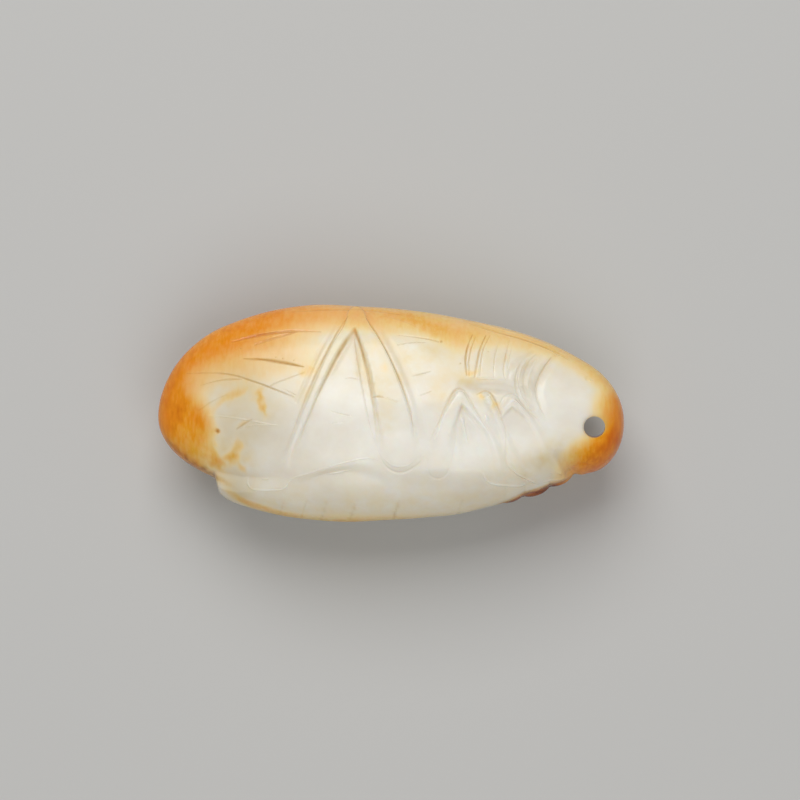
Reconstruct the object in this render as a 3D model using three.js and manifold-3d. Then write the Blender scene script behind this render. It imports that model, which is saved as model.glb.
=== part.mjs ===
// Jade cicada pendant: one solid carving in pale jade, lying on its side.
// +X runs from the tail to the head, +Y from the belly to the back and +Z is up.
// The origin is under the middle of the carving, on the surface that it lies on.
// Sizes are in mm. The pose and the carving are shares of the length and height.

import * as THREE from "three";
import { mergeVertices } from "three/addons/utils/BufferGeometryUtils.js";
import Module from "manifold-3d";

const { clamp, degToRad, lerp, smoothstep } = THREE.MathUtils;

// The body.
const LENGTH = 52;
const HEIGHT = 24.3;
const THICKNESS = 16.5;        // side to side, without the raised legs
const SQUARENESS = 2.2;        // exponent of the cross-section, 2 is an ellipse
const BACK_TAPER = 0.1;        // how much narrower the back is than the belly
const AXIS_AT_TAIL = 0.484;    // height of the middle line, as a share of HEIGHT
const AXIS_AT_NOSE = 0.454;
const FLAT_DEPTH = 0.55;       // ground off the lower side, so that it lies still

// The cord hole through the head.
const BORE = 2.35;             // diameter, for a thin silk cord
const BORE_ALONG = 0.9355;     // share of LENGTH
const BORE_UP = 0.438;         // share of HEIGHT
const BORE_LEAN = 5;           // degrees out of square, the far mouth sits nearer the back
const BORE_TURN = 3;           // degrees out of square, the far mouth sits nearer the nose
const RIM_WIDTH = 0.6;         // the worn dip round each mouth
const RIM_DEPTH = 0.25;

// The carving.
const VIEW_LEAN = 4.5;         // degrees below square-on, from where it was laid out
const RELIEF = 0.5;            // the highest that a leg stands above the flank
const FLANK_STEP = 0.4;        // the wings and legs stand this far above the belly
const STEP_WIDTH = 0.6;        // width of that step
const LIMB_EDGE = 0.6;         // width of the rounded shoulder of a raised limb
const HOLLOW_EDGE = 0.5;       // half the width of a hollow's sloping side
const RELIEF_FADE = [0.12, 0.5];     // no relief where the surface turns its edge to the side
const ABDOMEN_START = 0.1205;  // share of LENGTH where the abdomen shows below the wings
const ABDOMEN_ROUND = 0.012;   // its rounded end, as a share of LENGTH
const TOE_SPREAD = [0.6, 0.85];      // how far the toes reach round the chest, as a cosine
const TOE_HEIGHT = 0.6;
const TOE_GAP = 0.16;          // the shallow middle between left and right toes, as a sine
const TOE_AT_GAP = 0.2;        // share of the toes' height that is left there
const NEAR_TOES = 0.25;        // the toes of the upper side are this much of the lower side's

// How finely the surface is cut into facets.
const SEED_EDGE = 10;          // the first facets are about this long
const STROKE_STEPS = 4;        // straight stretches between two points of a carved stroke
const LONGEST_EDGE = 1.9;
const SHORTEST_EDGE = 0.5;
const MOUTH_EDGE = 0.7;        // longest edge near the cord hole
const SURFACE_ERROR = 0.05;
const TURN_PASSES = 4;
const TURN_GAIN = 0.8;         // an edge is turned only if its error falls to this share
const THINNEST = 0.2;          // no turned edge makes a triangle thinner than this
const BORE_SEGMENTS = 40;
const WELD = 1e-5;

// Outlines: [share of LENGTH, share of the half height or half thickness].
const CHEST_LINE = [
  [0.43, 0.952], [0.5, 0.92], [0.57, 0.905], [0.64, 0.9], [0.69, 0.877], [0.742, 0.85],
  [0.783, 0.817], [0.84, 0.8], [0.875, 0.79], [0.892, 0.765], [0.908, 0.832], [0.923, 0.87],
  [0.95, 0.965], [0.98, 1.04], [1, 1.1],
];
const BACK_LINE = profile([
  [0, 1.25], [0.04, 1.285], [0.09, 1.25], [0.16, 1.195], [0.26, 1.152], [0.36, 1.095],
  [0.43, 1.055], [0.5, 1.025], [0.57, 1.003], [0.7, 0.988], [0.84, 0.98], [0.9, 0.998],
  [0.95, 1.055], [1, 1.12],
]);
const WING_UNDERSIDE = profile([
  [0, 0.93], [0.04, 0.9], [0.08, 0.87], [0.12, 0.853], [0.16, 0.86], [0.2, 0.88],
  [0.25, 0.915], [0.3, 0.95], [0.36, 0.972], ...CHEST_LINE,
]);
const BELLY_LINE = profile([
  [0.126, 1.01], [0.148, 1.053], [0.187, 1.051], [0.243, 1.027], [0.33, 0.989], ...CHEST_LINE,
]);
const FULLNESS = profile([
  [0, 0.92], [0.12, 0.93], [0.3, 0.99], [0.42, 1.01], [0.5, 1], [0.62, 0.985],
  [0.75, 1], [0.86, 1.05], [0.93, 1.15], [1, 1.35],
]);

// The lower edge of the wings and legs, over the belly: [share of LENGTH, share of HEIGHT].
const FLANK_EDGE = profile([
  [-0.02, 0.468], [0.011, 0.372], [0.036, 0.326], [0.064, 0.284], [0.099, 0.252],
  [0.129, 0.236], [0.167, 0.22], [0.206, 0.211], [0.245, 0.211], [0.283, 0.209],
  [0.309, 0.217], [0.348, 0.238], [0.4, 0.27], [0.444, 0.289], [0.472, 0.283], [0.519, 0.267],
  [0.584, 0.257], [0.648, 0.248], [0.687, 0.239], [0.7, 0.193], [0.717, 0.165],
  [0.755, 0.156], [0.798, 0.15], [0.863, 0.06], [0.95, -0.2],
]);

// The toes below the chest: [start and end as shares of LENGTH, share of TOE_HEIGHT].
const TOES = [[0.742, 0.783, 0.5], [0.783, 0.839, 1], [0.839, 0.89, 0.67]];

// Carved strokes, raised or hollow. Each point is
// [percent of LENGTH, percent of HEIGHT, half width as percent of HEIGHT, share of RELIEF].
const HIND_THIGH = carvedStroke([
  [42.4, 95, 4.8, 0.5], [44, 88.5, 4.2, 0.84], [46.2, 78.9, 5.4, 0.9], [47.9, 69.7, 6.3, 0.9],
  [49.4, 58.3, 7.5, 0.84], [50.9, 44.5, 8.4, 0.6], [51.9, 32.1, 9.9, 0.24],
]);
const HIND_SHIN = carvedStroke([
  [42.4, 95, 4.8, 0.5], [40.8, 88.5, 3.4, 0.84], [37.8, 78.9, 2.8, 0.84],
  [34.5, 64.2, 2.5, 0.76], [31.8, 50.5, 2.5, 0.68], [29.2, 37.6, 2.6, 0.6], [27.6, 29, 3, 0.4],
  [26.6, 22.5, 3.3, 0],
]);
const MIDDLE_THIGH = carvedStroke([
  [64.7, 57.6, 3, 0.85], [63.3, 51.8, 3.6, 0.8], [62, 45, 4.4, 0.66], [61.2, 37.2, 5.3, 0.4],
  [60.3, 25.7, 5.8, 0.14],
]);
const MIDDLE_SHIN = carvedStroke([
  [64.7, 57.6, 3, 0.85], [66.6, 52.4, 2.2, 0.7], [68.7, 47, 1.9, 0.55],
  [70.6, 41.5, 1.8, 0.4], [72.3, 34.4, 2.5, 0.26], [73.6, 23, 3.5, 0.16],
]);
const FRONT_SHIN = carvedStroke([
  [70.5, 56.6, 2.3, 0.85], [71.6, 52.5, 2.1, 0.66], [73.2, 45, 2.2, 0.36], [75.3, 34, 3, 0.24],
  [77.7, 22.9, 3.9, 0.22],
]);
const FOREMOST_THIGH = carvedStroke([
  [75.8, 54.8, 2.7, 0.8], [74.5, 52, 2.2, 0.6], [73.5, 48.2, 1.5, 0.25],
]);
const FOREMOST_SHIN = carvedStroke([
  [75.8, 54.8, 2.7, 0.8], [77.6, 51.8, 2.4, 0.6], [79.7, 47, 2, 0.38], [81.6, 40.5, 2.4, 0.26],
  [83.4, 32, 3.1, 0.2], [85.2, 23.5, 3.9, 0.2],
]);
const INSIDE_HIND_KNEE = carvedStroke([
  [42.1, 85.8, 1.2, -0.8], [41.2, 78, 3.3, -0.68], [40.3, 68.8, 5.8, -0.4],
  [39.7, 58.3, 8.6, 0],
]);
const INSIDE_MIDDLE_KNEE = carvedStroke([
  [65.2, 51.5, 1.2, -0.3], [65.9, 45, 2.5, -0.36], [66.5, 35.8, 4.1, -0.2], [67, 27.5, 5.8, 0],
]);
const LEDGE_ABOVE_LEGS = carvedStroke([
  [65.5, 63.2, 1.6, -0.2], [68.5, 62.8, 2.3, -0.6], [73.4, 62.4, 2.7, -0.64],
  [77.7, 59.6, 2.5, -0.6], [80.9, 53.1, 1.9, -0.24],
]);
const COLLAR_FOLD = carvedStroke([
  [82.3, 76, 1.2, -0.2], [79, 72, 1.3, -0.6], [77.5, 66.5, 1.3, -0.6], [77.1, 60.5, 1.2, -0.52],
  [78.4, 53, 1.2, -0.4], [81.9, 46.3, 1, 0],
]);
const HEAD_FOLD = carvedStroke([
  [86.3, 78.9, 1.2, -0.2], [83.5, 71.6, 1.6, -0.68], [81.7, 65.1, 1.7, -0.72],
  [81.2, 59.5, 1.6, -0.6], [81.9, 54.1, 1.4, -0.4], [83.2, 47, 1.2, 0],
]);
const NECK = carvedStroke([
  [89.6, 15, 2.1, -1], [88.6, 22, 2.1, -0.84], [87, 28, 2.1, -0.4], [85.5, 33.5, 2.1, 0],
]);
const RAISED = [
  HIND_THIGH, HIND_SHIN, MIDDLE_THIGH, MIDDLE_SHIN, FRONT_SHIN, FOREMOST_THIGH,
  FOREMOST_SHIN,
];
const HOLLOWS = [
  INSIDE_HIND_KNEE, INSIDE_MIDDLE_KNEE, LEDGE_ABOVE_LEGS, COLLAR_FOLD, HEAD_FOLD, NECK,
];

// A smooth curve through a table of [position, value].
function profile(points) {
  const last = points.length - 1;
  const slopes = points.map((_, i) => {
    const before = points[Math.max(i - 1, 0)];
    const after = points[Math.min(i + 1, last)];
    return (after[1] - before[1]) / (after[0] - before[0]);
  });
  return (position) => {
    let i = 0;
    while (i < last - 1 && position > points[i + 1][0]) i += 1;
    const width = points[i + 1][0] - points[i][0];
    const t = clamp((position - points[i][0]) / width, 0, 1);
    const bend = width * t * (1 - t) * (slopes[i] * (1 - t) - slopes[i + 1] * t);
    return lerp(points[i][1], points[i + 1][1], t * t * (3 - 2 * t)) + bend;
  };
}

// A carved stroke as short straight stretches, with a half width and a height at each end.
function carvedStroke(points) {
  const place = new THREE.SplineCurve(
    points.map((p) => new THREE.Vector2(p[0] / 100 * LENGTH, p[1] / 100 * HEIGHT)),
  );
  const size = new THREE.SplineCurve(points.map((p) => new THREE.Vector2(p[2], p[3])));
  const steps = (points.length - 1) * STROKE_STEPS;
  return Array.from({ length: steps + 1 }, (_, i) => {
    const { x, y } = place.getPoint(i / steps);
    const { x: half, y: relief } = size.getPoint(i / steps);
    return { x, y, half: half / 100 * HEIGHT, height: relief * RELIEF };
  });
}

// How deep a spot lies inside a stroke (negative outside), and the stroke's size there.
function insideStroke(stroke, along, up) {
  let best = { depth: -Infinity, half: 1, height: 0 };
  for (let i = 0; i + 1 < stroke.length; i += 1) {
    const a = stroke[i];
    const b = stroke[i + 1];
    const dx = b.x - a.x;
    const dy = b.y - a.y;
    const t = clamp(((along - a.x) * dx + (up - a.y) * dy) / (dx * dx + dy * dy), 0, 1);
    const half = lerp(a.half, b.half, t);
    const depth = half - Math.hypot(along - a.x - t * dx, up - a.y - t * dy);
    if (depth > best.depth) best = { depth, half, height: lerp(a.height, b.height, t) };
  }
  return best;
}

// The height of the legs and hollows above the flank, at a spot of the side view.
function carving(along, up) {
  let floor = 0;
  for (const stroke of HOLLOWS) {
    const { depth, height } = insideStroke(stroke, along, up);
    floor = Math.min(floor, height * smoothstep(depth, -HOLLOW_EDGE, HOLLOW_EDGE));
  }
  let top = floor;
  for (const stroke of RAISED) {
    const { depth, half, height } = insideStroke(stroke, along, up);
    const shoulder = smoothstep(depth, 0, Math.min(LIMB_EDGE, half));
    top = Math.max(top, lerp(floor, height, shoulder));
  }
  return top;
}

// The worn dip round the mouths of the cord hole.
function mouthDip(along, up, z) {
  const boreUp = BORE_UP * HEIGHT - Math.tan(degToRad(BORE_LEAN)) * z;
  const boreAlong = BORE_ALONG * LENGTH - Math.tan(degToRad(BORE_TURN)) * z;
  const fromRim = Math.hypot(along - boreAlong, up - boreUp) - BORE / 2;
  return RIM_DEPTH * (1 - smoothstep(fromRim, -RIM_WIDTH, RIM_WIDTH));
}

// The three pairs of toes, as scallops across the chest. side is the sine of the way round
// the chest, more than 0 on the upper side.
function toes(share, cos, side) {
  const toe = TOES.find(([start, end]) => share > start && share < end);
  if (!toe) return 0;
  const [start, end, height] = toe;
  const scallop = Math.sqrt(Math.sin(Math.PI * (share - start) / (end - start)));
  const spread = smoothstep(-cos, ...TOE_SPREAD);
  const fromGap = lerp(TOE_AT_GAP, 1, smoothstep(Math.abs(side), 0, TOE_GAP));
  const ofSide = lerp(1, NEAR_TOES, smoothstep(side, -TOE_GAP / 2, TOE_GAP));
  return height * TOE_HEIGHT * scallop * spread * fromGap * ofSide;
}

// The way out of the body, for a direction of the unit sphere.
function outward(direction) {
  return new THREE.Vector3(
    direction.x / LENGTH, direction.y / HEIGHT, direction.z / THICKNESS,
  ).normalize();
}

// The point of the surface in a direction of the unit sphere. y is 0 at the belly and
// z is 0 on the middle plane.
function surfacePoint(direction) {
  const share = (1 + direction.x) / 2;
  const along = share * LENGTH;
  const ring = Math.hypot(direction.y, direction.z);
  const angle = Math.atan2(Math.abs(direction.z), direction.y);
  const cos = Math.cos(angle);
  const sin = Math.sin(angle);
  const squared = Math.abs(cos) ** SQUARENESS + sin ** SQUARENESS;
  const reach = ring * squared ** (-1 / SQUARENESS);

  const axis = HEIGHT * lerp(AXIS_AT_TAIL, AXIS_AT_NOSE, share);
  const halfHeight = HEIGHT / 2 * reach * cos;
  const halfThick = THICKNESS / 2 * FULLNESS(share) * reach * sin * (1 - BACK_TAPER * cos);
  const wingUp = axis + halfHeight * (cos > 0 ? BACK_LINE(share) : WING_UNDERSIDE(share));

  const lean = Math.tan(degToRad(VIEW_LEAN));
  const belowEdge = FLANK_EDGE(share) * HEIGHT - wingUp - lean * halfThick;
  const belly = cos < 0 ? smoothstep(belowEdge, 0, STEP_WIDTH) : 0;
  const abdomen = smoothstep(share, ABDOMEN_START, ABDOMEN_START + ABDOMEN_ROUND);
  const bellyUp = axis + halfHeight * lerp(WING_UNDERSIDE(share), BELLY_LINE(share), abdomen);

  const point = new THREE.Vector3(
    along - LENGTH / 2,
    lerp(wingUp, bellyUp, belly),
    halfThick - FLANK_STEP * sin * ring * belly,
  );
  const normal = outward(direction);
  const facing = smoothstep(Math.abs(normal.z), ...RELIEF_FADE);
  const side = Math.sign(direction.z) * sin;
  const relief = carving(along, point.y + lean * point.z) * facing + toes(share, cos, side);
  if (direction.z < 0) point.z = -point.z;
  return point.addScaledVector(normal, relief - mouthDip(along, point.y, point.z));
}

// Splits the edges of a sphere of directions until its facets follow the surface.
function carvedGeometry() {
  const directions = [];
  const points = [];
  const addVertex = (direction) => {
    directions.push(direction.normalize());
    points.push(surfacePoint(direction));
    return points.length - 1;
  };
  const keyOf = (a, b) => Math.min(a, b) * 1e7 + Math.max(a, b);
  const edgeLength = (a, b) => points[a].distanceTo(points[b]);
  // How far the surface lies from a straight edge, at a share of the way along it.
  const gapAt = (a, b, t) => {
    const direction = directions[a].clone().lerp(directions[b], t).normalize();
    const gap = surfacePoint(direction).sub(points[a].clone().lerp(points[b], t));
    return Math.abs(gap.dot(outward(direction)));
  };
  const isRough = (a, b) => {
    const length = edgeLength(a, b);
    const fromBore = Math.hypot(
      points[a].x - (BORE_ALONG - 0.5) * LENGTH, points[a].y - BORE_UP * HEIGHT,
    );
    if (length > (fromBore < BORE ? MOUTH_EDGE : LONGEST_EDGE)) return true;
    if (length < SHORTEST_EDGE * 2) return false;
    return [0.25, 0.5, 0.75].some((t) => gapAt(a, b, t) > SURFACE_ERROR);
  };
  const tested = new Map();
  const needsSplit = (a, b) => {
    const key = keyOf(a, b);
    if (!tested.has(key)) tested.set(key, isRough(a, b));
    return tested.get(key);
  };

  const seed = bareGeometry(new THREE.OctahedronGeometry(1, Math.round(LENGTH / SEED_EDGE)));
  const { position } = seed.attributes;
  for (let i = 0; i < position.count; i += 1) {
    addVertex(new THREE.Vector3().fromBufferAttribute(position, i));
  }
  let triangles = [];
  for (let i = 0; i < seed.index.count; i += 3) {
    triangles.push([0, 1, 2].map((corner) => seed.index.getX(i + corner)));
  }
  const roughEdges = () => {
    const edges = triangles.flatMap(edgesOf).filter((edge) => needsSplit(...edge));
    return new Set(edges.map((edge) => keyOf(...edge)));
  };
  for (let marked = roughEdges(); marked.size > 0; marked = roughEdges()) {
    markLongestEdges(triangles, marked, keyOf, edgeLength);
    const middles = new Map();
    const middleOf = (a, b) => {
      const key = keyOf(a, b);
      if (!marked.has(key)) return -1;
      if (!middles.has(key)) {
        middles.set(key, addVertex(directions[a].clone().add(directions[b])));
      }
      return middles.get(key);
    };
    triangles = triangles.flatMap((triangle) => splitTriangle(triangle, middleOf, edgeLength));
  }
  for (let pass = 0; pass < TURN_PASSES; pass += 1) turnEdges(triangles, points, keyOf, gapAt);

  const geometry = new THREE.BufferGeometry();
  geometry.setAttribute(
    "position", new THREE.Float32BufferAttribute(points.flatMap((p) => p.toArray()), 3),
  );
  geometry.setIndex(triangles.flat());
  return geometry;
}

function edgesOf([a, b, c]) {
  return [[a, b], [b, c], [c, a]];
}

// Marks the longest edge of every triangle that has a marked edge, so that no slivers grow.
function markLongestEdges(triangles, marked, keyOf, edgeLength) {
  let before = -1;
  while (marked.size > before) {
    before = marked.size;
    for (const triangle of triangles) {
      const edges = edgesOf(triangle);
      if (edges.some((edge) => marked.has(keyOf(...edge)))) {
        edges.sort((e, f) => edgeLength(...f) - edgeLength(...e));
        marked.add(keyOf(...edges[0]));
      }
    }
  }
}

// Cuts one triangle at the middles of its marked edges.
function splitTriangle([a, b, c], middleOf, edgeLength) {
  const ab = middleOf(a, b);
  const bc = middleOf(b, c);
  const ca = middleOf(c, a);
  const cuts = [ab, bc, ca].filter((middle) => middle >= 0).length;
  if (cuts === 0) return [[a, b, c]];
  if (cuts === 3) return [[a, ab, ca], [ab, b, bc], [ca, bc, c], [ab, bc, ca]];
  const turns = [[a, b, c, ab, bc, ca], [b, c, a, bc, ca, ab], [c, a, b, ca, ab, bc]];
  if (cuts === 1) {
    const [p, q, r, pq] = turns.find((turn) => turn[3] >= 0);
    return [[p, pq, r], [pq, q, r]];
  }
  const [p, q, r, pq, qr] = turns.find((turn) => turn[3] >= 0 && turn[4] >= 0);
  if (edgeLength(p, qr) < edgeLength(pq, r)) return [[pq, q, qr], [p, pq, qr], [p, qr, r]];
  return [[pq, q, qr], [p, pq, r], [pq, qr, r]];
}

// Turns the diagonal of two neighbouring triangles where the other one follows the surface
// better, so that the edges run along the carving.
function turnEdges(triangles, points, keyOf, gapAt) {
  const sides = new Map();
  triangles.forEach((triangle, index) => {
    for (const edge of edgesOf(triangle)) {
      const key = keyOf(...edge);
      sides.set(key, [...(sides.get(key) ?? []), index]);
    }
  });
  const turned = new Set();
  for (const [first, second] of sides.values()) {
    if (turned.has(first) || turned.has(second)) continue;
    const c = triangles[first].find((v) => !triangles[second].includes(v));
    const d = triangles[second].find((v) => !triangles[first].includes(v));
    const at = triangles[first].indexOf(c);
    const a = triangles[first][(at + 1) % 3];
    const b = triangles[first][(at + 2) % 3];
    const shape = Math.min(evenness([c, a, d], points), evenness([d, b, c], points));
    if (sides.has(keyOf(c, d)) || shape < THINNEST) continue;
    if (gapAt(c, d, 0.5) < gapAt(a, b, 0.5) * TURN_GAIN) {
      triangles[first] = [c, a, d];
      triangles[second] = [d, b, c];
      turned.add(first).add(second);
    }
  }
}

// The shape of a triangle: 1 when its sides are equal, 0 when it is a line, and less than 0
// when it faces into the body.
function evenness(corners, points) {
  const [a, b, c] = corners.map((i) => points[i]);
  const ab = b.clone().sub(a);
  const ac = c.clone().sub(a);
  const normal = ab.clone().cross(ac);
  const middle = a.clone().add(b).add(c).divideScalar(3);
  middle.y -= HEIGHT / 2;
  const out = outward(outward(middle));
  const sides = ab.lengthSq() + ac.lengthSq() + b.distanceToSquared(c);
  return normal.length() * Math.sign(normal.dot(out)) * 2 * Math.sqrt(3) / sides;
}

// The drill of the cord hole.
function drillGeometry() {
  const drill = new THREE.CylinderGeometry(BORE / 2, BORE / 2, THICKNESS * 2, BORE_SEGMENTS);
  drill.rotateX(Math.PI / 2 + degToRad(BORE_LEAN));
  drill.rotateY(-degToRad(BORE_TURN));
  drill.translate((BORE_ALONG - 0.5) * LENGTH, BORE_UP * HEIGHT, 0);
  return drill;
}

// The block that is ground off below the flat spot.
function groundGeometry(body) {
  body.computeBoundingBox();
  const { min, max } = body.boundingBox;
  const ground = new THREE.BoxGeometry(2 * LENGTH, 2 * (max.y - min.y), THICKNESS);
  return ground.translate(0, (min.y + max.y) / 2, min.z + FLAT_DEPTH - THICKNESS / 2);
}

function bareGeometry(geometry) {
  const bare = geometry.clone();
  bare.deleteAttribute("normal");
  bare.deleteAttribute("uv");
  return mergeVertices(bare, WELD);
}

const wasm = await Module();
wasm.setup();

function solidOf(geometry) {
  const bare = bareGeometry(geometry);
  return new wasm.Manifold(new wasm.Mesh({
    numProp: 3,
    vertProperties: new Float32Array(bare.attributes.position.array),
    triVerts: new Uint32Array(bare.index.array),
  }));
}

function geometryOf(solid) {
  const mesh = solid.getMesh();
  const geometry = new THREE.BufferGeometry();
  geometry.setAttribute("position", new THREE.BufferAttribute(mesh.vertProperties, 3));
  geometry.setIndex(new THREE.BufferAttribute(mesh.triVerts, 1));
  return geometry;
}

// The carving, drilled and ground, with its origin at the middle of its lower side.
const body = carvedGeometry();
const drilled = solidOf(body).subtract(solidOf(drillGeometry()));
const geometry = geometryOf(drilled.subtract(solidOf(groundGeometry(body))));
geometry.computeBoundingBox();
const middle = geometry.boundingBox.getCenter(new THREE.Vector3());
geometry.translate(-middle.x, -middle.y, -geometry.boundingBox.min.z);
geometry.computeVertexNormals();

const jade = new THREE.MeshStandardMaterial({ color: 0xe3dac4, roughness: 0.3, metalness: 0 });
const cicada = new THREE.Mesh(geometry, jade);
cicada.name = "jade_cicada";

const pendant = new THREE.Group();
pendant.add(cicada);
export default pendant;
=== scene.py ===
import math

import bmesh
import bpy
import numpy as np
from mathutils import Matrix, Vector, kdtree


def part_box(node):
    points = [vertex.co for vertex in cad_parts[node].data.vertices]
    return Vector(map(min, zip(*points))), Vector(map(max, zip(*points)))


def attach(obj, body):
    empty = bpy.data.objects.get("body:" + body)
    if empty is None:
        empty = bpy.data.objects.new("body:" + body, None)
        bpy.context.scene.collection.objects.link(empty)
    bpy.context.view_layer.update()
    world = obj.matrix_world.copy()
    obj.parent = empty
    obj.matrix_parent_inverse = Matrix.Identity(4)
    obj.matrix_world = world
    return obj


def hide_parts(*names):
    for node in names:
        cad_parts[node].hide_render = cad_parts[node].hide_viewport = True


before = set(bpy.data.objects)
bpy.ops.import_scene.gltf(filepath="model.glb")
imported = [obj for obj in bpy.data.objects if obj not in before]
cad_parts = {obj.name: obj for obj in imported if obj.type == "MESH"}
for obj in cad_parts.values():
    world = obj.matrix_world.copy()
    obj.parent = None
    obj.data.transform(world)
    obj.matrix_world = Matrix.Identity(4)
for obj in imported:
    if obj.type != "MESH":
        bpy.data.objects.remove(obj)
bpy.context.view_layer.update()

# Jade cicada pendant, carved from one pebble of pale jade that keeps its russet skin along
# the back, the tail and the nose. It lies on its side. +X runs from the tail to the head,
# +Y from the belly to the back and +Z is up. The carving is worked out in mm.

MM = 0.001

# The camera stands almost straight above the side of the cicada, a little below its belly,
# with a long lens. The cicada lies a little left of and below the middle of the picture.
VIEW_LEAN = 4.5           # degrees from straight above, towards the belly
CAMERA_DISTANCE = 0.4
PICTURE_WIDTH = 0.0893    # what the picture takes in, at the middle of the cicada
MIDDLE_HEIGHT = 0.0082    # height of the cicada's middle plane above the floor
AIM_X = 0.0010
AIM_Y = 0.00146
SENSOR_MM = 36
NEAREST_SEEN = 0.01


def add_object(name, data):
    """Puts a new object into the scene."""
    added = bpy.data.objects.new(name, data)
    bpy.context.scene.collection.objects.link(added)
    return added


camera_data = bpy.data.cameras.new("camera")
camera_data.sensor_width = SENSOR_MM
camera_data.lens = SENSOR_MM * CAMERA_DISTANCE / PICTURE_WIDTH
camera_data.clip_start = NEAREST_SEEN
camera = add_object("camera", camera_data)
lean = math.radians(VIEW_LEAN)
camera.location = (
    AIM_X,
    AIM_Y - math.sin(lean) * CAMERA_DISTANCE,
    MIDDLE_HEIGHT + math.cos(lean) * CAMERA_DISTANCE,
)
camera.rotation_euler = (lean, 0, 0)
bpy.context.scene.camera = camera
bpy.context.scene.view_settings.view_transform = "Standard"

# The cicada: one solid piece of nephrite, ground to shape, with the wings, the bent legs and
# the toes left standing a fraction of a mm above the body, and the lines cut with a thin
# wheel. A cord hole is drilled through the head from side to side.
LENGTH = 52
HEIGHT = 24.3
THICKNESS = 16.5          # side to side, without the raised legs
SQUARENESS = 2.2          # exponent of the cross-section, 2 is an ellipse
BACK_TAPER = 0.1          # how much narrower the back is than the belly
AXIS_AT_TAIL = 0.484      # height of the middle line, as a share of the height
AXIS_AT_NOSE = 0.454
FLAT_DEPTH = 0.55         # ground off the lower side, so that it lies still
RELIEF = 0.5              # the highest that a leg stands above the flank
FLANK_STEP = 0.4          # the wings and legs stand this far above the belly
STEP_WIDTH = (0.4, 2.6)   # width of that step, behind and before the hind thigh
STEP_CHANGE = (0.36, 0.5)  # shares of the length between which it widens
LIMB_EDGE = 0.4           # width of the rounded shoulder of a raised limb
SOFT_EDGE = 1.3           # its width near the belly, where the legs flatten out
SOFT_BELOW = (0.28, 0.5)  # shares of the height between which it changes
HOLLOW_EDGE = 0.45        # half the width of a hollow's sloping side
RELIEF_FADE = (0.12, 0.5)  # no relief where the surface turns its edge to the side
ABDOMEN_START = 0.1205    # share of the length where the abdomen shows below the wings
ABDOMEN_ROUND = 0.012
BORE = 2.35               # diameter of the cord hole
BORE_ALONG = 0.9355
BORE_UP = 0.438
BORE_LEAN = 5             # degrees, the far mouth sits nearer the back
BORE_TURN = 3             # degrees, the far mouth sits nearer the nose
RIM_WIDTH = 0.6           # the worn dip round each mouth
RIM_DEPTH = 0.25
RIM_EDGE = 0.16           # the rounded lip of the mouth itself
LIP_DEPTH = 0.1


def profile(points):
    """A smooth curve through (position, value) points, both in thousandths, as a function of
    the position."""
    at, value = np.array(points).T / 1000
    before = np.maximum(np.arange(len(at)) - 1, 0)
    after = np.minimum(np.arange(len(at)) + 1, len(at) - 1)
    slope = (value[after] - value[before]) / (at[after] - at[before])

    def height_at(position):
        i = np.clip(np.searchsorted(at, position) - 1, 0, len(at) - 2)
        width = at[i + 1] - at[i]
        t = np.clip((position - at[i]) / width, 0, 1)
        bend = width * t * (1 - t) * (slope[i] * (1 - t) - slope[i + 1] * t)
        return value[i] + (value[i + 1] - value[i]) * t * t * (3 - 2 * t) + bend

    return height_at


# Outlines: (thousandths of the length, of the half height or half thickness).
CHEST_LINE = [
    (430, 952), (500, 920), (570, 905), (640, 900), (690, 877), (742, 850), (783, 817), (840, 800),
    (875, 790), (892, 765), (908, 832), (923, 870), (950, 965), (980, 1040), (1000, 1100),
]
back_line = profile([
    (0, 1250), (40, 1285), (90, 1250), (160, 1195), (260, 1152), (360, 1095), (430, 1055), (500, 1025),
    (570, 1003), (700, 988), (840, 980), (900, 998), (950, 1055), (1000, 1120),
])
wing_underside = profile([
    (0, 930), (40, 900), (80, 870), (120, 853), (160, 860), (200, 880), (250, 915), (300, 950),
    (360, 972),
] + CHEST_LINE)
belly_line = profile([
    (126, 1010), (148, 1053), (187, 1051), (243, 1027), (330, 989),
] + CHEST_LINE)
fullness = profile([
    (0, 920), (120, 930), (300, 990), (420, 1010), (500, 1000), (620, 985), (750, 1000), (860, 1050),
    (930, 1150), (1000, 1350),
])

# The lower edge of the wings and legs, over the belly: (thousandths of the length, of the
# height).
flank_edge = profile([
    (-20, 468), (11, 372), (36, 326), (64, 284), (99, 252), (129, 236), (167, 220), (206, 211),
    (245, 211), (283, 209), (309, 217), (348, 238), (400, 270), (444, 289), (472, 283), (519, 267),
    (584, 257), (648, 248), (687, 239), (700, 193), (717, 165), (755, 156), (798, 150), (863, 60),
    (950, -200),
])

# The toes below the chest: (start and end as shares of the length, height in mm).
TOES = [(0.742, 0.783, 0.3), (0.783, 0.839, 0.6), (0.839, 0.89, 0.4)]
TOE_SPREAD = (0.6, 0.85)  # how far the toes reach round the chest, as a cosine
TOE_GAP = 0.16            # the shallow middle between left and right toes, as a sine
TOE_AT_GAP = 0.2          # share of the toes' height that is left there
NEAR_TOES = 0.25          # the near side's toes are this much of the far side's

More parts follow.
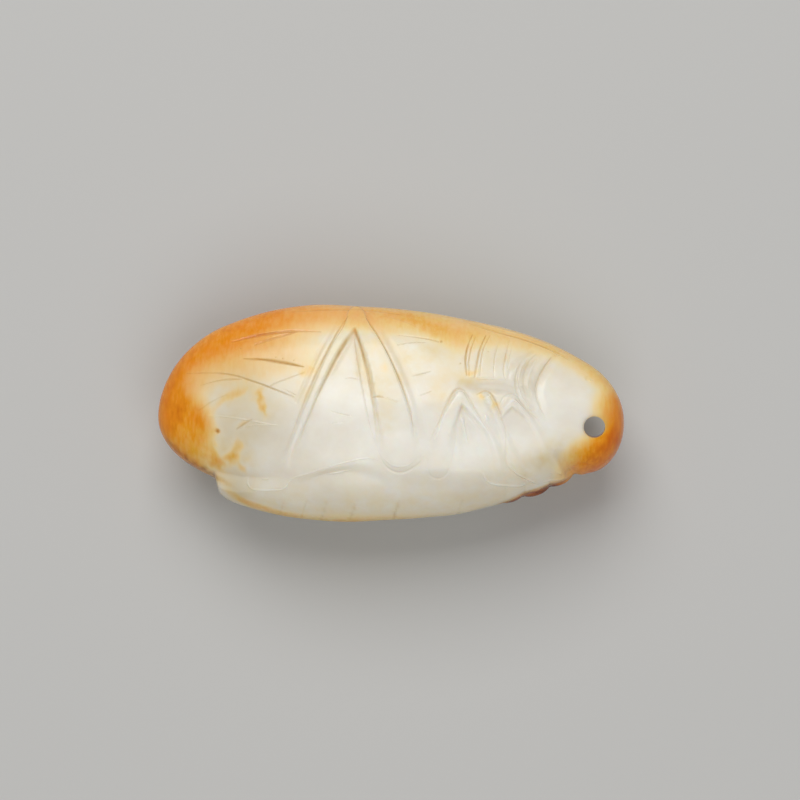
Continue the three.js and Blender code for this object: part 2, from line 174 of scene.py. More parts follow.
# The legs and the hollows beside them. Each point is (thousandths of the length, of the
# height, half width in thousandths of the height, percent of RELIEF).
LEGS = [
    # hind thigh
    [(424, 950, 48, 50), (440, 885, 42, 84), (462, 789, 54, 90), (479, 697, 63, 90),
     (494, 583, 75, 84), (509, 445, 84, 60), (519, 321, 99, 24)],
    # hind shin and foot
    [(424, 950, 48, 50), (408, 885, 34, 84), (378, 789, 28, 84), (345, 642, 25, 76),
     (318, 505, 25, 68), (292, 376, 26, 60), (276, 290, 30, 40), (266, 225, 33, 0)],
    # middle thigh
    [(647, 576, 30, 85), (633, 518, 36, 80), (620, 450, 44, 66), (612, 372, 53, 40),
     (603, 257, 58, 14)],
    # middle shin
    [(647, 576, 30, 85), (666, 524, 22, 70), (687, 470, 19, 55), (706, 415, 18, 40),
     (723, 344, 25, 26), (736, 230, 35, 16)],
    # front shin
    [(705, 566, 23, 85), (716, 525, 21, 66), (732, 450, 22, 36), (753, 340, 30, 24),
     (777, 229, 39, 22)],
    # foremost thigh
    [(758, 548, 27, 80), (745, 520, 22, 60), (735, 482, 15, 25)],
    # foremost shin
    [(758, 548, 27, 80), (776, 518, 24, 56), (797, 470, 20, 30), (816, 405, 24, 18),
     (834, 320, 31, 13), (852, 235, 39, 16)],
]
HOLLOWS = [
    # inside the hind knee
    [(421, 858, 12, -80), (412, 780, 33, -68), (403, 688, 58, -40), (397, 583, 86, 0)],
    # inside the middle knee
    [(652, 515, 12, -30), (659, 450, 25, -36), (665, 358, 41, -20), (670, 275, 58, 0)],
    # ledge above the legs
    [(655, 632, 16, -20), (685, 628, 23, -60), (734, 624, 27, -64), (777, 596, 25, -60),
     (809, 531, 19, -24)],
    # collar fold
    [(823, 760, 12, -20), (790, 720, 13, -60), (775, 665, 13, -60), (771, 605, 12, -52),
     (784, 530, 12, -40), (819, 463, 10, 0)],
    # head fold
    [(863, 789, 12, -20), (835, 716, 16, -52), (817, 651, 17, -54), (812, 595, 16, -46),
     (819, 541, 14, -30), (832, 470, 12, 0)],
    # neck
    [(896, 150, 21, -100), (886, 220, 21, -84), (870, 280, 21, -40), (855, 335, 21, 0)],
]

# The cut lines. Each point is (thousandths of the length, of the height, half width and
# depth in hundredths of a mm, percent of brown in the cut, if any). A depth below 0 is a
# raised bead.
VEINS = [
    # vein near the back
    [(157, 828, 10, 3, 60), (208, 858, 21, 9, 100), (283, 879, 24, 10, 100), (348, 876, 10, 3, 60)],
    # its branch
    [(205, 817, 10, 3, 80), (245, 846, 19, 8, 100), (298, 877, 14, 6, 90)],
    # upper middle vein
    [(182, 750, 7, 3, 70), (223, 747, 17, 10, 100), (273, 730, 25, 14, 100), (311, 713, 10, 5, 90)],
    # long vein
    [(60, 683, 8, 3, 40), (144, 681, 13, 7, 50), (208, 642, 16, 10, 75), (264, 596, 15, 10, 50),
     (290, 574, 7, 3, 30)],
    # beside it
    [(268, 610, 6, 3, 20), (292, 585, 8, 5, 30)],
    # branch to the tail
    [(90, 628, 6, 2, 30), (135, 652, 11, 6, 50), (178, 656, 9, 5, 50)],
    # branch to the shin
    [(238, 622, 10, 6, 40), (261, 647, 10, 6, 30), (312, 686, 7, 3, 30)],
    # faint vein
    [(86, 511, 12, 2, 25), (116, 555, 13, 3, 30), (146, 584, 10, 1, 10)],
    # crease
    [(102, 489, 8, -3), (147, 482, 12, -5), (202, 463, 12, -5), (245, 445, 6, -2)],
    # lower vein
    [(168, 427, 14, 4, 40), (185, 452, 18, 5, 50), (200, 470, 10, 3, 40)],
    # beside lower vein
    [(176, 433, 6, -3), (206, 444, 10, -4), (253, 444, 6, -2)],
]
HIND_LEG_LINES = [
    # shin, tail side
    [(406, 945, 10, 5, 30), (384, 876, 14, 11, 55), (354, 752, 14, 11, 50), (322, 606, 14, 10, 30),
     (300, 486, 13, 7, 10), (281, 385, 8, 2, 0)],
    # bank beside shin
    [(378, 899, 30, 4, 10), (350, 803, 35, 7, 15), (322, 674, 35, 6, 10), (296, 550, 30, 3, 0)],
    # shin, head side
    [(420, 885, 35, 12, 100), (401, 830, 34, 17, 100), (369, 702, 27, 15, 60), (342, 583, 20, 11, 30),
     (318, 459, 15, 7, 10), (304, 372, 8, 3, 0)],
    # thigh, tail side
    [(420, 885, 30, 12, 100), (431, 826, 26, 14, 90), (447, 697, 20, 12, 55), (457, 583, 17, 10, 30),
     (466, 436, 12, 6, 10), (468, 349, 7, 2, 0)],
    # second line of the thigh
    [(420, 844, 8, 4, 50), (427, 729, 11, 7, 35), (440, 578, 10, 6, 20), (455, 422, 8, 4, 5),
     (466, 353, 5, 2, 0)],
    # thigh, head side
    [(446, 936, 10, 6, 40), (468, 867, 13, 12, 55), (496, 757, 13, 12, 50), (519, 647, 13, 11, 40),
     (540, 514, 12, 10, 20), (549, 394, 8, 3, 0)],
    # bank beside thigh
    [(483, 872, 50, 5, 10), (521, 734, 70, 10, 5), (552, 569, 70, 9, 0), (567, 422, 60, 4, 0)],
    # thigh end
    [(470, 330, 12, 1), (487, 256, 20, 5), (520, 224, 22, 6), (557, 262, 20, 5), (569, 300, 12, 1)],
    # edge inside the thigh end
    [(482, 296, 8, -2), (502, 258, 12, -5), (534, 258, 12, -5), (556, 300, 8, -2)],
]
NICKS = [
    # nicks between the shin and the thigh, from the top
    [(401, 661, 5, 2, 20), (416, 662, 8, 5, 25), (429, 656, 5, 2, 10)],
    [(369, 509, 5, 2, 10), (395, 493, 9, 5, 20), (414, 486, 5, 2, 10)],
    [(363, 450, 5, 2), (396, 457, 7, 3)],
    # glint on the hind foot
    [(223, 198, 8, -3), (230, 198, 15, -9), (237, 199, 8, -3)],
    # glint below the ledge
    [(364, 220, 10, -3), (386, 226, 18, -10), (412, 239, 10, -3)],
    # stained nick on the thigh
    [(459, 573, 8, 3, 60), (472, 575, 13, 6, 100), (484, 572, 6, 3, 70)],
    # faint nick on the thigh
    [(487, 569, 6, 2, 30), (511, 550, 8, 3, 30)],
    # four nicks before the thorax, from the top
    [(511, 860, 6, 2, 30), (571, 844, 10, 6, 50), (601, 830, 10, 5, 60)],
    [(513, 814, 6, 3, 30), (541, 825, 9, 5, 40), (575, 826, 6, 3, 30)],
    [(541, 670, 6, 3, 20), (562, 679, 10, 6, 30), (584, 693, 6, 3, 20)],
    [(556, 578, 6, 3, 10), (573, 590, 10, 5, 20), (586, 600, 6, 2, 10)],
]
FRONT_LEG_LINES = [
    # middle thigh, tail side
    [(582, 372, 9, 2, 5), (601, 458, 15, 7, 15), (619, 543, 17, 10, 20), (635, 602, 17, 10, 25),
     (647, 614, 16, 9, 20)],
    # middle shin, head side
    [(647, 614, 16, 9, 20), (660, 596, 16, 9, 15), (679, 524, 15, 8, 10), (697, 454, 13, 6, 5),
     (714, 399, 9, 2, 0)],
    # bright edge of the middle thigh
    [(614, 500, 10, -3), (603, 435, 15, -7), (591, 376, 12, -3)],
    # inside the middle thigh
    [(651, 526, 16, 2, 15), (642, 460, 13, 2, 0), (639, 384, 14, 3, 0), (633, 317, 13, 3, 0),
     (627, 243, 10, 1, 0)],
    # inside the middle shin
    [(651, 526, 16, 2, 15), (668, 476, 12, 3, 0), (693, 424, 10, 2, 0), (719, 385, 7, 1, 0)],
    # ridge inside the knee
    [(649, 486, 10, -4), (653, 462, 22, -17), (658, 410, 18, -12), (664, 362, 10, -3)],
    # middle thigh end
    [(576, 290, 12, 1), (582, 216, 18, 3), (602, 198, 20, 4), (620, 224, 18, 3), (628, 280, 12, 1)],
    # front leg line
    [(684, 586, 10, 3, 40), (702, 603, 14, 6, 50), (717, 580, 17, 7, 60), (730, 520, 15, 5, 50),
     (739, 464, 10, 2, 10)],
    # knot between the knees
    [(701, 490, 12, -5), (704, 476, 23, -17), (706, 458, 12, -4)],
    # bright edge of the front knee
    [(702, 570, 10, -3), (711, 546, 16, -9), (721, 500, 11, -3)],
    # bright edge of the foremost knee
    [(742, 516, 10, -3), (752, 542, 15, -8), (761, 554, 18, -12), (772, 536, 15, -8),
     (787, 490, 10, -2)],
    # foremost leg line
    [(733, 542, 10, 3, 5), (743, 578, 13, 6, 5), (759, 593, 15, 7, 5), (777, 570, 15, 6, 0),
     (798, 512, 13, 4, 0), (820, 456, 10, 1, 0)],
    # front foot line
    [(691, 250, 10, -2), (702, 194, 16, -7), (726, 170, 18, -11), (774, 166, 18, -11),
     (790, 176, 10, -3)],
    # line between the shins
    [(736, 477, 10, 3), (746, 413, 15, 5), (746, 277, 17, 6), (762, 224, 17, 6), (796, 184, 14, 5),
     (814, 170, 10, 2)],
    # edge beside it
    [(754, 256, 10, -3), (772, 216, 17, -10), (804, 184, 14, -8)],
    # edge of the foremost foot
    [(826, 184, 10, -3), (846, 193, 16, -9), (866, 200, 16, -9), (883, 224, 10, -3)],
    # foot knuckle
    [(854, 229, 15, -4), (869, 222, 25, -16), (884, 229, 12, -4)],
]
THORAX_LINES = [
    # seven upright lines of the thorax, from the wing to the collar
    [(674, 862, 10, 4, 50), (662, 794, 17, 10, 80), (659, 734, 17, 10, 75), (662, 674, 11, 5, 60)],
    [(681, 853, 6, 3, 50), (670, 789, 11, 8, 70), (666, 729, 11, 8, 60), (668, 674, 7, 4, 40)],
    [(703, 858, 9, 4, 50), (690, 794, 16, 10, 70), (683, 720, 16, 10, 60), (679, 665, 10, 5, 50)],
    [(712, 858, 6, 3, 30), (697, 794, 10, 8, 60), (692, 734, 10, 8, 50), (690, 674, 7, 4, 40)],
    [(731, 826, 6, 2, 20), (722, 771, 10, 7, 35), (719, 663, 7, 4, 20)],
    [(753, 835, 6, 3, 30), (745, 761, 12, 9, 40), (741, 697, 12, 8, 25), (745, 647, 7, 4, 10)],
    [(761, 817, 5, 2, 10), (752, 743, 9, 6, 15), (750, 674, 7, 4, 10)],
    # ledge edge
    [(670, 663, 6, 2, 20), (702, 656, 10, 5, 10), (745, 651, 10, 5, 0)],
    # collar shade
    [(803, 784, 30, 3, 10), (773, 743, 45, 7, 5), (755, 697, 40, 5, 0), (749, 651, 30, 2, 0)],
    # first line of the collar
    [(796, 780, 10, 3, 15), (778, 734, 15, 8, 15), (768, 674, 17, 10, 10), (768, 615, 16, 10, 10),
     (778, 560, 14, 8, 5), (798, 505, 12, 6, 0), (820, 466, 8, 2, 0)],
    # ridge of the collar
    [(795, 761, 10, -3), (781, 716, 16, -9), (775, 661, 16, -10), (776, 606, 15, -8),
     (786, 556, 12, -5), (804, 506, 10, -2)],
    # second line of the collar
    [(810, 771, 10, 3, 15), (795, 734, 14, 7, 15), (784, 679, 15, 8, 10), (783, 624, 14, 7, 10),
     (792, 574, 10, 3, 0)],
    # collar crescent
    [(816, 754, 12, -3), (801, 710, 26, -10), (793, 656, 28, -10), (793, 602, 18, -5),
     (800, 556, 10, -2)],
    # head line
    [(843, 756, 10, 4, 40), (824, 697, 17, 10, 35), (813, 636, 18, 11, 20), (812, 580, 16, 9, 10),
     (822, 516, 12, 5, 0), (830, 480, 8, 2, 0)],
]
EDGE_LINES = [
    # edge of the foot and of the step before it
    [(192, 206, 9, -2), (193, 170, 13, -7), (207, 148, 14, -8), (260, 147, 14, -8), (274, 164, 14, -8),
     (287, 198, 13, -6), (318, 220, 12, -5), (382, 262, 12, -6), (442, 292, 12, -5), (472, 284, 9, -2)],
    # back line
    [(655, 929, 7, 2, 30), (712, 884, 12, 7, 50), (789, 835, 13, 8, 50), (850, 784, 11, 7, 50),
     (886, 743, 6, 3, 30)],
    # light edge above the back line
    [(670, 936, 10, -2), (720, 896, 15, -6), (794, 848, 15, -6), (854, 798, 10, -2)],
    # back line, tail half
    [(288, 968, 6, 2, 20), (369, 977, 10, 4, 30), (453, 975, 10, 4, 30), (524, 952, 6, 2, 20)],
    # shoulder line
    [(479, 947, 12, -2), (517, 923, 18, -5), (554, 892, 10, -2)],
    # chin line
    [(891, 252, 8, 3, 0), (910, 268, 12, 5, 10), (931, 257, 7, 2, 0)],
    # glint of the chip on the head
    [(918, 666, 8, -3), (926, 656, 17, -12), (932, 648, 8, -3)],
    # scratch below the cord hole
    [(938, 374, 6, -2), (948, 390, 10, -6), (958, 406, 6, -2)],
    # neck crease
    [(843, 344, 30, 1, 0), (856, 289, 40, 5, 10), (869, 239, 45, 10, 20), (884, 193, 40, 14, 20)],
]

# Small round pits, as points of a cut line: the half width is the radius.
PITS = [
    (921, 661, 35, 8, 10), (126, 417, 38, 12, 100), (266, 752, 12, 3, 100), (251, 757, 10, 2, 80),
    (176, 798, 10, 2, 70), (648, 729, 14, 3, 80), (708, 784, 12, 3, 70), (607, 830, 22, 4, 100),
    (290, 743, 10, 2, 70),
]
LINE_UNITS = [10, 10, 100, 100, 100]  # a point divided by these is in percent, mm and shares

# The rings of the abdomen, cut round the belly: (percent of the length, how much brown).
BELLY_RINGS = [(25.6, 0.2), (30.4, 0.25), (34.8, 0.3), (41, 0.3), (50.2, 0.6), (63.7, 0.25)]
RING_HALF = 0.16
RING_DEPTH = 0.04
RING_LEAN = 0.3           # how far a ring leans towards the head, per mm up the flank
RING_TOP = (0.06, 0.12)   # shares of the height between which a ring runs out
LINE_STEPS = 5            # straight stretches between two points of a stroke or line
STRETCH_BLEND = 0.1       # mm over which one stretch gives way to the next


def spline(given):
    """Points on a smooth curve through the given ones, LINE_STEPS for each stretch."""
    padded = np.vstack([given[:1], given, given[-1:]])
    place = np.linspace(0, len(given) - 1, (len(given) - 1) * LINE_STEPS + 1)
    i = np.minimum(place.astype(int), len(given) - 2)
    t = (place - i)[:, None]
    before, start, end, after = (padded[i + k] for k in range(4))
    into, out = (end - before) / 2, (after - start) / 2
    cubic = (2 * start - 2 * end + into + out) * t**3
    return cubic + (3 * end - 3 * start - 2 * into - out) * t**2 + into * t + start


def leg_stroke(points):
    """A leg or hollow as rows of (along, up, half width, relief), in mm."""
    percents = np.array(points) / [10, 10, 10, 100]
    return spline(percents) * [LENGTH / 100, HEIGHT / 100, HEIGHT / 100, RELIEF]


def line_stroke(points):
    """A cut line as rows of (along, up, half width, depth, brown), in mm."""
    with_brown = np.array([(*point, 0)[:5] for point in points])
    return spline(with_brown / LINE_UNITS) * [LENGTH / 100, HEIGHT / 100, 1, 1, 1]


def place_of(percent_along, percent_up):
    """A spot of the side view, in mm."""
    return percent_along * LENGTH / 100, percent_up * HEIGHT / 100


legs = [leg_stroke(points) for points in LEGS]
hollows = [leg_stroke(points) for points in HOLLOWS]
main_lines = [line_stroke(points) for points in HIND_LEG_LINES + FRONT_LEG_LINES + THORAX_LINES]
near_lines = [line_stroke(points) for points in VEINS + NICKS + EDGE_LINES]
far_lines = [line_stroke(points) for points in EDGE_LINES]


def ramp(value, low, high):
    """0 below low, 1 above high and a smooth step between them."""
    t = np.clip((value - low) / (high - low), 0, 1)
    return t * t * (3 - 2 * t)


def inside_stroke(stroke, along, up, margin):
    """For the spots within the margin of a stroke: which they are, how deep they lie inside
    it (less than 0 outside) and the stroke's half width and other values there."""
    reach = stroke[:, 2].max() + margin
    low, high = stroke[:, :2].min(0) - reach, stroke[:, :2].max(0) + reach
    near = (along > low[0]) & (along < high[0]) & (up > low[1]) & (up < high[1])
    spots = np.flatnonzero(near)
    start, run = stroke[:-1], np.diff(stroke, axis=0)
    dx = along[spots, None] - start[:, 0]
    dy = up[spots, None] - start[:, 1]
    t = np.clip((dx * run[:, 0] + dy * run[:, 1]) / (run[:, :2] ** 2).sum(1), 0, 1)
    away = np.hypot(dx - t * run[:, 0], dy - t * run[:, 1])
    depth = start[:, 2] + t * run[:, 2] - away
    deepest = depth.max(1)
    weight = np.exp((depth - deepest[:, None]) / STRETCH_BLEND)
    values = np.einsum("ij,ijk->ik", weight, start[:, 2:] + t[..., None] * run[:, 2:])
    return spots, deepest, values / weight.sum(1)[:, None]


def carving(along, up):
    """The height of the legs and hollows above the flank, at spots of the side view."""
    floor = np.zeros(len(along))
    for stroke in hollows:
        spots, depth, values = inside_stroke(stroke, along, up, HOLLOW_EDGE)
        sunk = values[:, 1] * ramp(depth, -HOLLOW_EDGE, HOLLOW_EDGE)
        floor[spots] = np.minimum(floor[spots], sunk)
    top = floor.copy()
    for stroke in legs:
        spots, depth, values = inside_stroke(stroke, along, up, 0)
        firm = ramp(up[spots] / HEIGHT, *SOFT_BELOW)
        edge = SOFT_EDGE + (LIMB_EDGE - SOFT_EDGE) * firm
        shoulder = ramp(depth, 0, np.minimum(edge, values[:, 0]))
        raised = floor[spots] + (values[:, 1] - floor[spots]) * shoulder
        top[spots] = np.maximum(top[spots], raised)
    return top


def on_lines(along, up, near, margin):
    """For each cut line in turn, the spots within the margin of it, as inside_stroke gives
    them. near is True on the side that shows in the picture, which has all of the lines."""
    for strokes, side in ((main_lines, None), (near_lines, True), (far_lines, False)):
        shown = np.flatnonzero(near == side) if side is not None else np.arange(len(along))
        for stroke in strokes:
            spots, inside, values = inside_stroke(stroke, along[shown], up[shown], margin)
            yield shown[spots], inside, values


def cut_depth(along, up, near):
    """How deep the lines and pits are cut, and how much brown they hold."""
    depth = np.zeros(len(along))
    brown = np.zeros(len(along))

    def cut(spots, away, how_deep, how_brown):
        share = (1 - away**2) ** 2
        added = how_deep * share
        depth[spots] = np.where(
            how_deep > 0, np.maximum(depth[spots], added), depth[spots] + added,
        )
        brown[spots] = np.maximum(brown[spots], how_brown * share)

    for spots, inside, values in on_lines(along, up, near, 0):
        kept = inside > 0
        half, deep, stain = values[kept].T
        cut(spots[kept], 1 - inside[kept] / half, deep, stain)
    for *place, radius, deep, stain in np.array(PITS) / LINE_UNITS:
        pit_along, pit_up = place_of(*place)
        away = np.hypot(along - pit_along, up - pit_up)
        spots = np.flatnonzero((away < radius) & near)
        cut(spots, away[spots] / radius, np.full(len(spots), deep), stain)
    return depth, brown


def ring_cuts(along, up):
    """How deep the rings are cut round the belly, and how much brown they hold."""
    shares, stains = np.array(BELLY_RINGS).T
    away = np.abs(along[:, None] - shares * LENGTH / 100 - RING_LEAN * up[:, None]) / RING_HALF
    across = (1 - np.minimum(away, 1) ** 2) ** 2 * (1 - ramp(up / HEIGHT, *RING_TOP))[:, None]
    return RING_DEPTH * across.max(1), (across * stains).max(1)


def from_bore(along, up, z):
    """How far points are from the wall of the cord hole, and less than 0 inside it."""
    bore_along = BORE_ALONG * LENGTH - math.tan(math.radians(BORE_TURN)) * z
    bore_up = BORE_UP * HEIGHT - math.tan(math.radians(BORE_LEAN)) * z
    return np.hypot(along - bore_along, up - bore_up) - BORE / 2


def mouth_dip(along, up, z):
    """The worn dip and the rounded lip round the mouths of the cord hole."""
    from_rim = from_bore(along, up, z)
    dip = RIM_DEPTH * (1 - ramp(from_rim, -RIM_WIDTH, RIM_WIDTH))
    return dip + LIP_DEPTH * (1 - np.clip(from_rim / RIM_EDGE, 0, 1)) ** 2


def toes(share, cos, sin, near):
    """The three pairs of toes, as scallops across the chest. Those of the far side are the
    taller ones."""
    height = np.zeros(len(share))
    spread = ramp(-cos, *TOE_SPREAD) * (TOE_AT_GAP + (1 - TOE_AT_GAP) * ramp(sin, 0, TOE_GAP))
    spread *= 1 - (1 - NEAR_TOES) * ramp(np.where(near, sin, -sin), -TOE_GAP / 2, TOE_GAP)
    for start, end, tall in TOES:
        inside = np.clip((share - start) / (end - start), 0, 1)
        height += tall * np.sqrt(np.maximum(np.sin(np.pi * inside), 0)) * spread
    return height


# The faint unevenness of hand grinding, as waves: (directions along x, y and z per mm,
# height in mm).
WAVES = [
    ((0.55, 0.25, 0.30), 0.030), ((-0.30, 0.62, 0.20), 0.024), ((0.20, -0.45, 0.70), 0.022),
    ((0.95, 0.40, -0.50), 0.012), ((-0.60, 0.90, 0.60), 0.010),
]


def side_view(points):
    """Where the camera sees points of the surface on the middle plane, in mm along and up,
    and whether they are on the near side. The far side is its mirror image."""
    height = np.abs(points[:, 2])
    closer = 1 / (1 - height * MM / CAMERA_DISTANCE)
    aim = np.array([AIM_X / MM, AIM_Y / MM + HEIGHT / 2])
    flat_view = points[:, :2] + np.outer(height, [0, math.tan(math.radians(VIEW_LEAN))])
    along, up = (aim + (flat_view - aim) * closer[:, None]).T
    return along + LENGTH / 2, up, points[:, 2] > 0


def middle_line(share):
    """The height of the body's middle line, in mm."""
    return HEIGHT * (AXIS_AT_TAIL + (AXIS_AT_NOSE - AXIS_AT_TAIL) * share)


def surface(directions):
    """The points of the carving in directions of the unit sphere, in mm. x is 0 half way
    along, y is 0 at the belly and z is 0 on the middle plane."""
    dx, dy, dz = directions.T
    share = (1 + dx) / 2
    along = share * LENGTH
    ring = np.hypot(dy, dz)
    angle = np.arctan2(np.abs(dz), dy)
    cos, sin = np.cos(angle), np.sin(angle)
    reach = ring * (np.abs(cos) ** SQUARENESS + sin**SQUARENESS) ** (-1 / SQUARENESS)

    axis = middle_line(share)
    half_height = HEIGHT / 2 * reach * cos
    half_thick = THICKNESS / 2 * fullness(share) * reach * sin * (1 - BACK_TAPER * cos)
    underside = wing_underside(share)
    wing_up = axis + half_height * np.where(cos > 0, back_line(share), underside)

    tilt = math.tan(math.radians(VIEW_LEAN))
    below_edge = flank_edge(share) * HEIGHT - wing_up - tilt * half_thick
    widened = ramp(share, *STEP_CHANGE)
    step_width = STEP_WIDTH[0] + (STEP_WIDTH[1] - STEP_WIDTH[0]) * widened
    belly = np.where(cos < 0, ramp(below_edge, 0, step_width), 0)
    abdomen = ramp(share, ABDOMEN_START, ABDOMEN_START + ABDOMEN_ROUND)
    belly_up = axis + half_height * (underside + (belly_line(share) - underside) * abdomen)

    points = np.column_stack([
        along - LENGTH / 2,
        wing_up + (belly_up - wing_up) * belly,
        half_thick - FLANK_STEP * sin * ring * belly,
    ])
    out = directions / [LENGTH, HEIGHT, THICKNESS]
    out /= np.linalg.norm(out, axis=1)[:, None]
    facing = ramp(np.abs(out[:, 2]), *RELIEF_FADE)
    seen_along, seen_up, _ = side_view(points)
    depth, _ = cut_depth(seen_along, seen_up, dz > 0)
    relief = (carving(seen_along, seen_up) - depth) * facing + toes(share, cos, sin, dz > 0)
    relief -= ring_cuts(seen_along, seen_up)[0]
    points[:, 2] = np.where(dz < 0, -points[:, 2], points[:, 2])
    for steps, tall in WAVES:
        relief += tall * np.sin(points @ np.array(steps))
    relief -= mouth_dip(along, points[:, 1], points[:, 2])
    return points + out * relief[:, None]


# Dabs of skin left in the pale stone: (percent of the length, percent of the height, half
# length and half width in mm, degrees that it is turned, strength in percent).
SKIN_DABS = [
    (23, 77, 7, 3.4, 10, 34), (13, 67, 3.5, 2.4, 10, 10), (1, 40, 1.6, 5, 0, 30),
    (8.6, 45, 2.4, 0.8, 84, 6), (4, 48, 2.6, 0.7, 78, 42), (12, 30, 1.6, 0.7, 118, 50),
    (12.8, 26, 0.9, 0.6, 120, 35), (16, 30, 1.3, 0.6, 75, 40), (17.2, 35.5, 1, 0.5, 100, 28),
    (17.9, 25, 1, 0.4, 125, 28), (15, 30, 0.7, 0.4, 20, 34), (22.4, 52, 0.9, 0.42, 108, 46),
    (21.6, 58, 0.7, 0.6, 75, 42), (18, 45, 1.1, 0.4, 35, 20), (12.6, 41.7, 0.4, 0.3, 0, 40),
    (16.4, 58.6, 1.5, 0.5, 22, 28), (13, 54, 1.4, 0.4, 45, 16), (54.5, 93.1, 3.6, 0.6, -15, 26),
    (60, 88, 2, 0.8, -20, 14), (42, 92, 4, 1.2, 0, 20), (22, 89, 4, 0.6, 14, 12),
    (94, 31, 2, 1.4, 40, 20), (98.5, 36, 1, 2.6, 12, 50), (95, 25, 2.4, 0.8, 42, 30),
    (17.5, 10.6, 2.2, 0.35, -32, 35), (22, 6.6, 2.6, 0.4, -18, 45), (28, 3, 2.4, 0.35, -10, 35),
    (64, 80, 1.6, 2, 30, 15), (32, 69.5, 1, 0.8, 40, 20), (48.5, 70.5, 1, 0.8, 20, 20),
    (15.6, 18.5, 1.2, 1.1, -30, 12), (94.2, 38.6, 0.8, 0.3, 20, 45), (49, 83, 2, 1.6, -30, 12),
    (46.6, 81, 1.6, 0.9, 70, 12), (69.2, 57.6, 0.5, 0.5, 0, 30), (72.2, 54.4, 0.4, 0.9, 30, 25),
    (67, 68.5, 0.9, 0.5, 0, 30),
]

# How finely the surface is cut into facets: the longest edge, in mm, on plain parts, on the
# shoulders of the legs and in the cut lines, and how fast it grows beside them.
PLAIN_SPACING = 0.7
LEG_SPACING = 0.31
NEAR_LINE_SPACING = 0.152
FAR_LINE_SPACING = 0.28
RING_SPACING = 0.36
MOUTH_SPACING = 0.18
TOE_SPACING = 0.35
DAB_SPACING = 0.32        # in the dabs of skin that are narrower than SMALL_DAB
SMALL_DAB = 0.65
SPACING_GROWTH = 0.9
SPACING_MARGIN = 0.8
STEP_BAND = 0.8           # mm on both sides of the crisp step, cut as finely as a leg
TOES_BELOW = 0.25         # share of the height below which the toes lie
SEED_SPLITS = 4
EDGE_KEY = 2**32          # more than there are points, to number the edges
NORMAL_STEP = 0.001       # how far apart the surface is sampled for its normals
LENGTHWISE = 0.6          # a direction that leans more towards x takes y as its helper


def spacing(points):
    """The longest edge that the surface may have at these points."""
    along, up, near = side_view(points)
    wanted = np.full(len(points), PLAIN_SPACING)

    def refine(spots, finest, away):
        wanted[spots] = np.minimum(
            wanted[spots], finest + SPACING_GROWTH * np.maximum(away, 0),
        )

    for stroke in legs:
        spots, depth, _ = inside_stroke(stroke, along, up, SPACING_MARGIN)
        refine(spots, LEG_SPACING, np.maximum(-depth, depth - LIMB_EDGE))
    for stroke in hollows:
        spots, depth, _ = inside_stroke(stroke, along, up, SPACING_MARGIN)
        refine(spots, LEG_SPACING, np.abs(depth) - HOLLOW_EDGE)
    line_spacing = np.where(near, NEAR_LINE_SPACING, FAR_LINE_SPACING)
    for spots, depth, _ in on_lines(along, up, near, SPACING_MARGIN):
        refine(spots, line_spacing[spots], -depth)
    small = [(*dab[:3], DAB_SPACING) for dab in SKIN_DABS if dab[3] < SMALL_DAB]
    pits = [(*pit[:3], NEAR_LINE_SPACING) for pit in np.array(PITS) / LINE_UNITS]
    for *place, radius, finest in pits + small:
        spot_along, spot_up = place_of(*place)
        away = np.hypot(along - spot_along, up - spot_up)
        refine(np.flatnonzero(near), finest, away[near] - radius)
    for share_along, _ in BELLY_RINGS:
        away = np.abs(along - share_along * LENGTH / 100 - RING_LEAN * up) - RING_HALF
        low = np.flatnonzero(up < RING_TOP[1] * HEIGHT)
        refine(low, RING_SPACING, away[low])
    crisp = np.flatnonzero(along / LENGTH < STEP_CHANGE[1])
    from_edge = np.abs(flank_edge(along[crisp] / LENGTH) * HEIGHT - up[crisp])
    refine(crisp, LEG_SPACING, from_edge - STEP_BAND)
    from_rim = np.abs(from_bore(along, *points[:, 1:].T))
    refine(np.arange(len(points)), MOUTH_SPACING, from_rim - RIM_EDGE)
    toe_area = (along > TOES[0][0] * LENGTH) & (along < TOES[-1][1] * LENGTH)
    refine(np.flatnonzero(toe_area & (up < TOES_BELOW * HEIGHT)), TOE_SPACING, 0)
    return wanted


def unit(vectors):
    """The vectors, made 1 long."""
    return vectors / np.linalg.norm(vectors, axis=1)[:, None]


def seed_sphere():
    """An eight-sided ball, each facet cut in four SEED_SPLITS times."""
    ball = np.array([(1, 0, 0), (-1, 0, 0), (0, 1, 0), (0, -1, 0), (0, 0, 1), (0, 0, -1)], float)
    facets = np.array([
        (0, 2, 4), (2, 1, 4), (1, 3, 4), (3, 0, 4), (2, 0, 5), (1, 2, 5), (3, 1, 5), (0, 3, 5),
    ])
    for _ in range(SEED_SPLITS):
        edges, of_facet = edges_of(facets)
        middles = of_facet + len(ball)
        ball = np.vstack([ball, unit(ball[edges].sum(1))])
        a, b, c = facets.T
        ab, bc, ca = middles.T
        facets = np.vstack([
            np.column_stack(corners)
            for corners in ((a, ab, ca), (ab, b, bc), (ca, bc, c), (ab, bc, ca))
        ])
    return ball, facets


def edges_of(facets):
    """The edges of a mesh, and the three that each facet has: a-b, b-c and c-a."""
    ends = np.sort(facets[:, [0, 1, 1, 2, 2, 0]].reshape(-1, 2), axis=1)
    keys, which = np.unique(ends[:, 0] * EDGE_KEY + ends[:, 1], return_inverse=True)
    return np.column_stack(np.divmod(keys, EDGE_KEY)), which.reshape(-1, 3)


